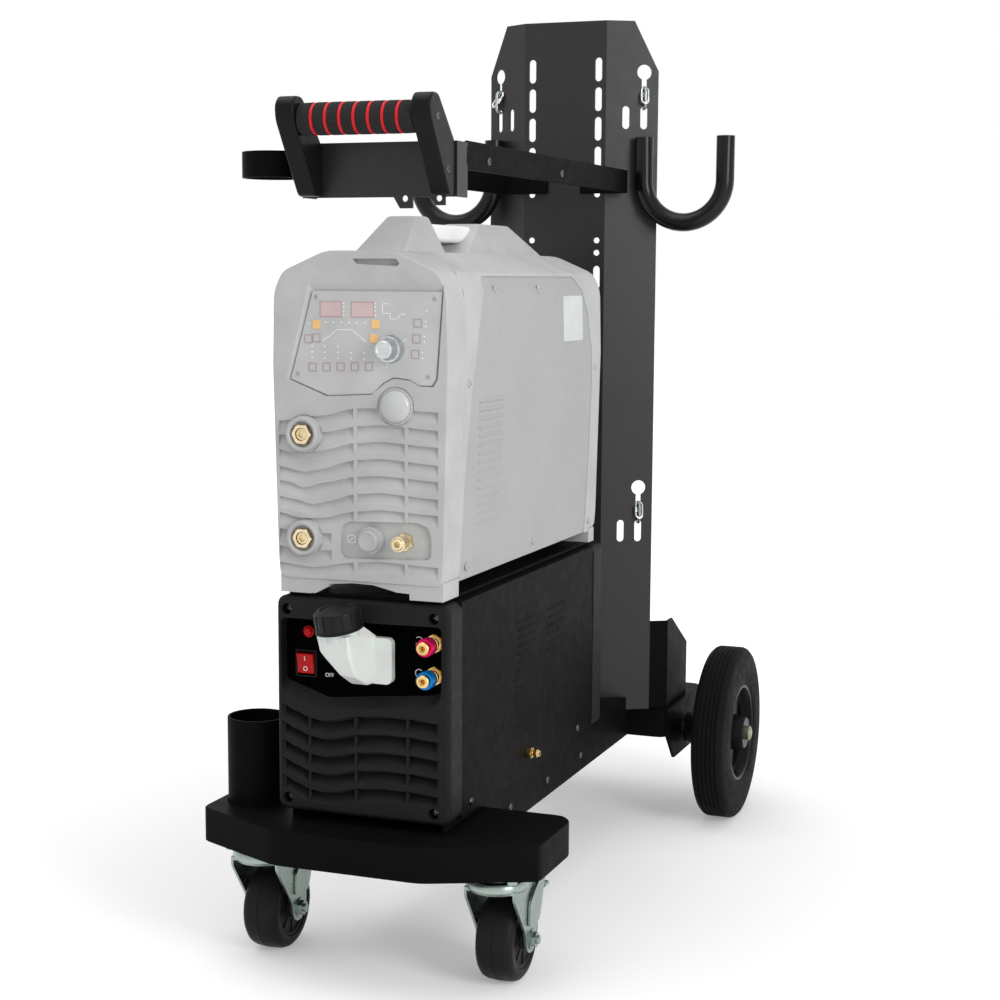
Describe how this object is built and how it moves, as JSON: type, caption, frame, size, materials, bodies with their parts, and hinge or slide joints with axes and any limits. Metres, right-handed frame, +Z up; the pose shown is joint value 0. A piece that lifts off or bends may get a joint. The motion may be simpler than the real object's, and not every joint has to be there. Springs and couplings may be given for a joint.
{
  "type": "welding trolley with inverter welder and water cooler",
  "caption": "Inverter welding power source standing on a water cooler, carried by a wheeled trolley with a folded bottle column, swivel casters, cable hooks, rod holder and push handle.",
  "frame": {"origin": "middle of the footprint, on the floor under the wheels", "axes": "+Z up, the front with the control panel and push handle faces -Y, +X is to the right of someone facing the front"},
  "size_m": [0.5026, 0.9926, 1.1344],
  "materials": {
    "black_steel": "fine-texture black powder coat",
    "black_plastic": "matt moulded",
    "gloss_black": "satin moulded",
    "pale_shell": "matt pale grey",
    "pale_cover": "matt pale grey",
    "panel_film": "printed film",
    "zinc": "bright zinc plate",
    "black_rubber": "matt",
    "tyre_rubber": "ribbed solid rubber",
    "foam": "black foam with thin red bands",
    "yellow_zinc": "yellow zinc plate",
    "brass": "turned",
    "red_plastic": "gloss",
    "red_anodised": "anodised",
    "blue_anodised": "anodised",
    "white_plastic": "translucent natural",
    "knob_metal": "machined"
  },
  "bodies": {
    "trolley": {"arm_left": "black_steel", "arm_right": "black_steel", "axle_cap_left": "yellow_zinc", "axle_cap_right": "yellow_zinc", "bottle_column": "black_steel", "bottle_cradle": "black_steel", "cable_hook_left": "black_steel", "cable_hook_right": "black_steel", "caster_channel": "black_steel", "caster_plate_left": "zinc", "caster_plate_right": "zinc", "chassis_tray": "black_steel", "cooler_cover": "black_steel", "cooler_front_bezel": "black_plastic", "cooler_lamp": "red_plastic", "cooler_rear_bezel": "black_plastic", "cooler_stack_plate": "black_steel", "coupling_return": "brass", "coupling_supply": "brass", "deck_pan": "black_steel", "drain_fitting": "brass", "filler_elbow": "white_plastic", "gas_outlet": "brass", "handle_grip": "foam", "handle_panel": "black_steel", "handle_side_left": "black_plastic", "handle_side_right": "black_plastic", "mains_gland": "black_plastic", "output_socket_lower": "brass", "output_socket_upper": "brass", "rear_axle": "yellow_zinc", "rear_outrigger": "black_steel", "remote_socket": "black_plastic", "rod_ring": "black_steel", "rod_tube": "black_steel", "welder_control_panel": "panel_film", "welder_cover": "pale_cover", "welder_dome": "pale_shell", "welder_front_bezel": "pale_shell", "welder_handle": "pale_shell", "welder_rear_bezel": "pale_shell"},
    "caster_left": {"caster_fork_left": "zinc"},
    "caster_right": {"caster_fork_right": "zinc"},
    "caster_wheel_left": {"caster_wheel_left": "black_rubber"},
    "caster_wheel_right": {"caster_wheel_right": "black_rubber"},
    "brake_left": {"caster_brake_left": "zinc"},
    "brake_right": {"caster_brake_right": "zinc"},
    "rear_wheel_left": {"rear_tyre_left": "tyre_rubber", "rear_rim_left": "black_plastic"},
    "rear_wheel_right": {"rear_tyre_right": "tyre_rubber", "rear_rim_right": "black_plastic"},
    "filler_cap": {"filler_cap": "gloss_black"},
    "cooler_switch": {"cooler_switch": "red_plastic"},
    "sleeve_supply": {"sleeve_supply": "red_anodised"},
    "sleeve_return": {"sleeve_return": "blue_anodised"},
    "encoder_knob": {"encoder_knob": "knob_metal"},
    "mains_switch": {"mains_switch": "black_plastic"},
    "quick_link_upper_left": {"quick_link_upper_left": "zinc"},
    "quick_link_upper_right": {"quick_link_upper_right": "zinc"},
    "quick_link_lower_right": {"quick_link_lower_right": "zinc"}
  },
  "joints": [
    {"name": "caster_swivel_left", "type": "hinge", "parent": "trolley", "child": "caster_left", "pos_m": [-0.145, -0.39366, 0.12], "axis": [0, 0, 1], "continuous": true},
    {"name": "caster_spin_left", "type": "hinge", "parent": "caster_left", "child": "caster_wheel_left", "pos_m": [-0.145, -0.36166, 0.05], "axis": [1, 0, 0], "continuous": true},
    {"name": "caster_brake_left", "type": "hinge", "parent": "caster_left", "child": "brake_left", "pos_m": [-0.113, -0.35666, 0.08], "axis": [1, 0, 0], "range_deg": [-10, 0]},
    {"name": "rear_spin_left", "type": "hinge", "parent": "trolley", "child": "rear_wheel_left", "pos_m": [-0.214, 0.37134, 0.125], "axis": [1, 0, 0], "continuous": true},
    {"name": "caster_swivel_right", "type": "hinge", "parent": "trolley", "child": "caster_right", "pos_m": [0.145, -0.39366, 0.12], "axis": [0, 0, 1], "continuous": true},
    {"name": "caster_spin_right", "type": "hinge", "parent": "caster_right", "child": "caster_wheel_right", "pos_m": [0.145, -0.36166, 0.05], "axis": [1, 0, 0], "continuous": true},
    {"name": "caster_brake_right", "type": "hinge", "parent": "caster_right", "child": "brake_right", "pos_m": [0.177, -0.35666, 0.08], "axis": [1, 0, 0], "range_deg": [-10, 0]},
    {"name": "rear_spin_right", "type": "hinge", "parent": "trolley", "child": "rear_wheel_right", "pos_m": [0.214, 0.37134, 0.125], "axis": [1, 0, 0], "continuous": true},
    {"name": "filler_cap_turn", "type": "hinge", "parent": "trolley", "child": "filler_cap", "pos_m": [-0.011, -0.46666, 0.4076], "axis": [-0.0995, -0.1728, 0.9799], "continuous": true},
    {"name": "cooler_switch_rock", "type": "hinge", "parent": "trolley", "child": "cooler_switch", "pos_m": [-0.074, -0.41966, 0.3566], "axis": [1, 0, 0], "range_deg": [-14, 0]},
    {"name": "sleeve_supply_pull", "type": "slide", "parent": "trolley", "child": "sleeve_supply", "axis": [0, 1, 0], "range_m": [0, 0.004], "stiffness_N_per_m": 900},
    {"name": "sleeve_return_pull", "type": "slide", "parent": "trolley", "child": "sleeve_return", "axis": [0, 1, 0], "range_m": [0, 0.004], "stiffness_N_per_m": 900},
    {"name": "encoder_turn", "type": "hinge", "parent": "trolley", "child": "encoder_knob", "pos_m": [0.037, -0.44366, 0.7091], "axis": [0, 1, 0], "continuous": true},
    {"name": "mains_switch_turn", "type": "hinge", "parent": "trolley", "child": "mains_switch", "pos_m": [-0.05, 0.09134, 0.7031], "axis": [0, 1, 0], "range_deg": [0, 90]},
    {"name": "quick_link_upper_left_swing", "type": "hinge", "parent": "trolley", "child": "quick_link_upper_left", "pos_m": [-0.10528, 0.26353, 1.0459], "axis": [-0.4876, -0.8731, 0], "range_deg": [-3, 3]},
    {"name": "quick_link_upper_right_swing", "type": "hinge", "parent": "trolley", "child": "quick_link_upper_right", "pos_m": [0.10528, 0.26353, 1.0459], "axis": [0.4876, -0.8731, 0], "range_deg": [-3, 3]},
    {"name": "quick_link_lower_right_swing", "type": "hinge", "parent": "trolley", "child": "quick_link_lower_right", "pos_m": [0.10528, 0.26353, 0.4719], "axis": [0.4876, -0.8731, 0], "range_deg": [-3, 3]}
  ]
}
